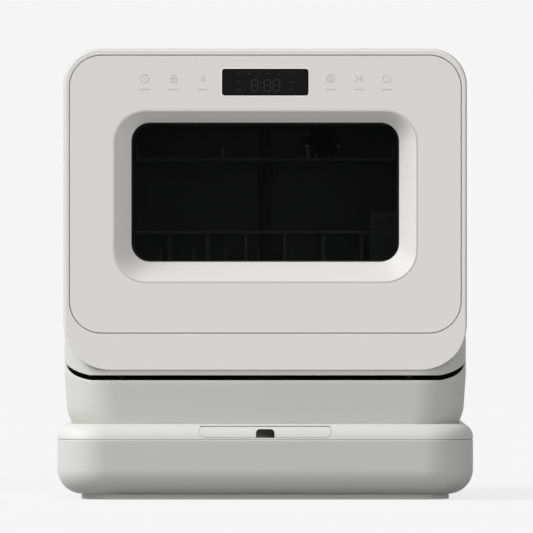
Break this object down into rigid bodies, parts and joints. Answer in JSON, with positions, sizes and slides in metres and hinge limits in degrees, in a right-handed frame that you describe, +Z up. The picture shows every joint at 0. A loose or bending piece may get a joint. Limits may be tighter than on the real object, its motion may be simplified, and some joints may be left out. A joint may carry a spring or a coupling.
{
  "type": "countertop dishwasher",
  "caption": "Countertop dishwasher with a drop-down windowed door, wire rack, spray arms and a water-tank base with a hinged inlet lid.",
  "frame": {"origin": "centre of the footprint at the bottom of the rubber feet", "axes": "+Z up, the door faces -Y, +X to the right seen from behind the door's face looking in (the viewer's right at the front)"},
  "size_m": [0.434, 0.44, 0.47],
  "materials": {
    "body_plastic": "fine satin texture",
    "grey_plastic": "fine satin texture",
    "dark_plastic": "satin",
    "tank_plastic": "milky",
    "inner_white": "smooth",
    "black_lens": "polished",
    "dark_glass": "tinted and polished",
    "tub_steel": "fine brushed",
    "hinge_steel": "zinc plated",
    "spring_steel": "bright wire",
    "screw_steel": "plated",
    "coated_wire": "nylon coated",
    "arm_plastic": "satin",
    "rubber": "matt",
    "board": "lacquered"
  },
  "bodies": {
    "body": {"plinth": "grey_plastic", "rubber_feet": "rubber", "base_tub": "grey_plastic", "water_tank": "tank_plastic", "base_cover": "body_plastic", "filler_neck": "dark_plastic", "lower_housing": "grey_plastic", "cabinet_wrap": "body_plastic", "back_cover": "body_plastic", "wash_tub": "tub_steel", "door_seal": "rubber", "latch_catch": "hinge_steel", "hinge_bracket_left": "hinge_steel", "hinge_bracket_right": "hinge_steel", "door_spring_left": "spring_steel", "door_spring_right": "spring_steel", "rack_rail_left": "tub_steel", "rack_rail_right": "tub_steel", "sump": "dark_plastic", "filter_cup": "dark_plastic", "filter_plate": "dark_plastic", "heater": "hinge_steel", "wash_pump": "dark_plastic", "drain_pump": "dark_plastic", "feed_pump": "dark_plastic", "spray_pipe": "arm_plastic", "upper_shelf": "coated_wire", "shelf_hooks": "arm_plastic", "fan_housing": "dark_plastic", "drain_spigot": "dark_plastic", "inlet_connector": "dark_plastic", "cord_gland": "dark_plastic", "screws": "screw_steel"},
    "door": {"door_frame": "body_plastic", "door_lower_cap": "grey_plastic", "door_panel": "body_plastic", "window_bezel": "body_plastic", "window_glass": "dark_glass", "display_lens": "black_lens", "control_board": "board", "door_liner": "inner_white", "inner_glass": "dark_glass", "latch_hook": "hinge_steel", "dispenser_body": "inner_white", "hinge_arm_left": "hinge_steel", "hinge_arm_right": "hinge_steel"},
    "shutter": {"dispenser_shutter": "inner_white"},
    "rack": {"dish_rack": "coated_wire", "cutlery_basket": "arm_plastic"},
    "wheel_front_left": {"rack_wheel_front_left": "arm_plastic"},
    "wheel_front_right": {"rack_wheel_front_right": "arm_plastic"},
    "wheel_rear_left": {"rack_wheel_rear_left": "arm_plastic"},
    "wheel_rear_right": {"rack_wheel_rear_right": "arm_plastic"},
    "lid": {"inlet_lid": "body_plastic"},
    "lower_arm": {"lower_spray_arm": "arm_plastic"},
    "upper_arm": {"upper_spray_arm": "arm_plastic"},
    "impeller": {"pump_impeller": "inner_white"},
    "rotor": {"fan_rotor": "dark_plastic"}
  },
  "joints": [
    {"name": "door_hinge", "type": "hinge", "parent": "body", "child": "door", "pos_m": [0, -0.1885, 0.1384], "axis": [1, 0, 0], "range_deg": [0, 90], "stiffness_Nm_per_rad": 2.7, "springref_deg": -8.59},
    {"name": "rack_slide", "type": "slide", "parent": "body", "child": "rack", "axis": [0, -1, 0], "range_m": [0, 0.115]},
    {"name": "dispenser_slide", "type": "slide", "parent": "door", "child": "shutter", "axis": [1, 0, 0], "range_m": [0, 0.036]},
    {"name": "inlet_lid_hinge", "type": "hinge", "parent": "body", "child": "lid", "pos_m": [0, -0.20949, 0.07531], "axis": [-1, 0, 0], "range_deg": [0, 110]},
    {"name": "lower_arm_spin", "type": "hinge", "parent": "body", "child": "lower_arm", "pos_m": [0, 0.01, 0.177], "axis": [0, 0, 1], "continuous": true},
    {"name": "upper_arm_spin", "type": "hinge", "parent": "body", "child": "upper_arm", "pos_m": [0, 0.01, 0.417], "axis": [0, 0, 1], "continuous": true},
    {"name": "impeller_spin", "type": "hinge", "parent": "body", "child": "impeller", "pos_m": [0.08, 0.01, 0.116], "axis": [1, 0, 0], "continuous": true},
    {"name": "fan_spin", "type": "hinge", "parent": "body", "child": "rotor", "pos_m": [0.062, 0.179, 0.38], "axis": [0, 1, 0], "continuous": true},
    {"name": "wheel_front_left_spin", "type": "hinge", "parent": "rack", "child": "wheel_front_left", "pos_m": [-0.1725, -0.086, 0.1983], "axis": [1, 0, 0], "range_deg": [0, 800]},
    {"name": "wheel_front_right_spin", "type": "hinge", "parent": "rack", "child": "wheel_front_right", "pos_m": [0.1725, -0.086, 0.1983], "axis": [1, 0, 0], "range_deg": [0, 800]},
    {"name": "wheel_rear_left_spin", "type": "hinge", "parent": "rack", "child": "wheel_rear_left", "pos_m": [-0.1725, 0.116, 0.1983], "axis": [1, 0, 0], "range_deg": [0, 800]},
    {"name": "wheel_rear_right_spin", "type": "hinge", "parent": "rack", "child": "wheel_rear_right", "pos_m": [0.1725, 0.116, 0.1983], "axis": [1, 0, 0], "range_deg": [0, 800]}
  ],
  "couplings": [
    {"joint": "rack_slide", "follows": "door_hinge", "m_per_rad": 0.07},
    {"joint": "wheel_front_left_spin", "follows": "door_hinge", "ratio": 8.75},
    {"joint": "wheel_front_right_spin", "follows": "door_hinge", "ratio": 8.75},
    {"joint": "wheel_rear_left_spin", "follows": "door_hinge", "ratio": 8.75},
    {"joint": "wheel_rear_right_spin", "follows": "door_hinge", "ratio": 8.75}
  ]
}
